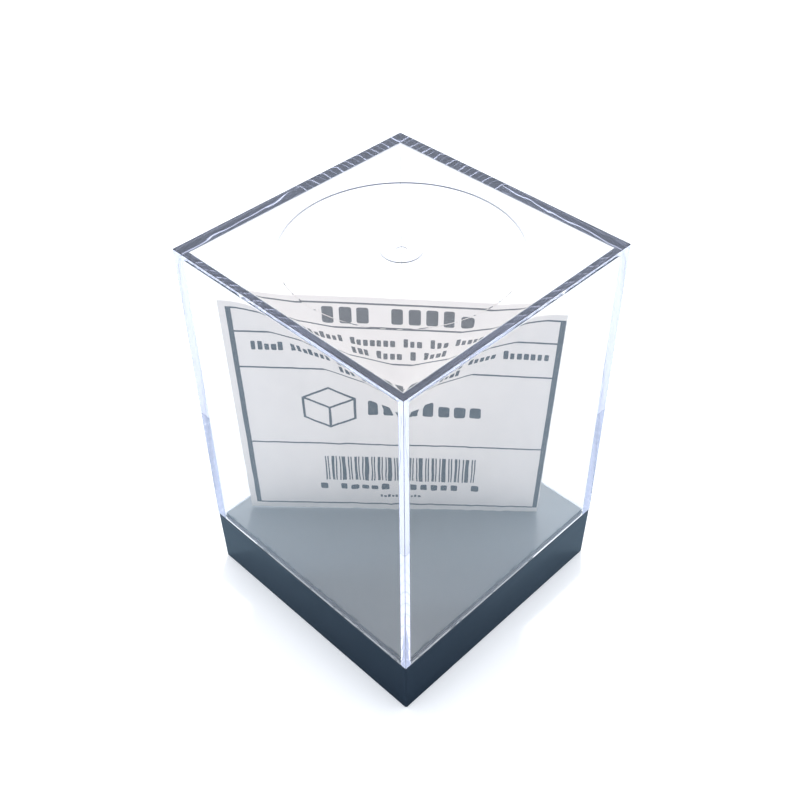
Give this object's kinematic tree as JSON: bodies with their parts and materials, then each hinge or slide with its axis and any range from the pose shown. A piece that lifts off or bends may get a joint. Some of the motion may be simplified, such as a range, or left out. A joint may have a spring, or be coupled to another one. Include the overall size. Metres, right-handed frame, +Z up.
{
  "type": "square display case",
  "caption": "Small square display case: a clear cover that lifts off a shallow black base, with a printed insert card standing inside.",
  "frame": {"origin": "on the table, at the centre of the base's square foot", "axes": "+Z up, X and Y along the case's sides, with the card facing the +X -Y corner"},
  "size_m": [0.059, 0.059, 0.0859],
  "materials": {
    "black_plastic": "gloss, moulded polystyrene",
    "clear_plastic": "clear, polished, moulded polystyrene",
    "card_paper": "uncoated printed paper"
  },
  "bodies": {
    "base": {"base": "black_plastic"},
    "cover": {"cover": "clear_plastic"},
    "card": {"insert_card": "card_paper"}
  },
  "joints": [
    {"name": "cover_lift", "type": "slide", "parent": "base", "child": "cover", "axis": [0, 0, 1], "range_m": [0, 0.09]},
    {"name": "card_lift", "type": "slide", "parent": "base", "child": "card", "axis": [0, 0, 1], "range_m": [0, 0.004]}
  ]
}
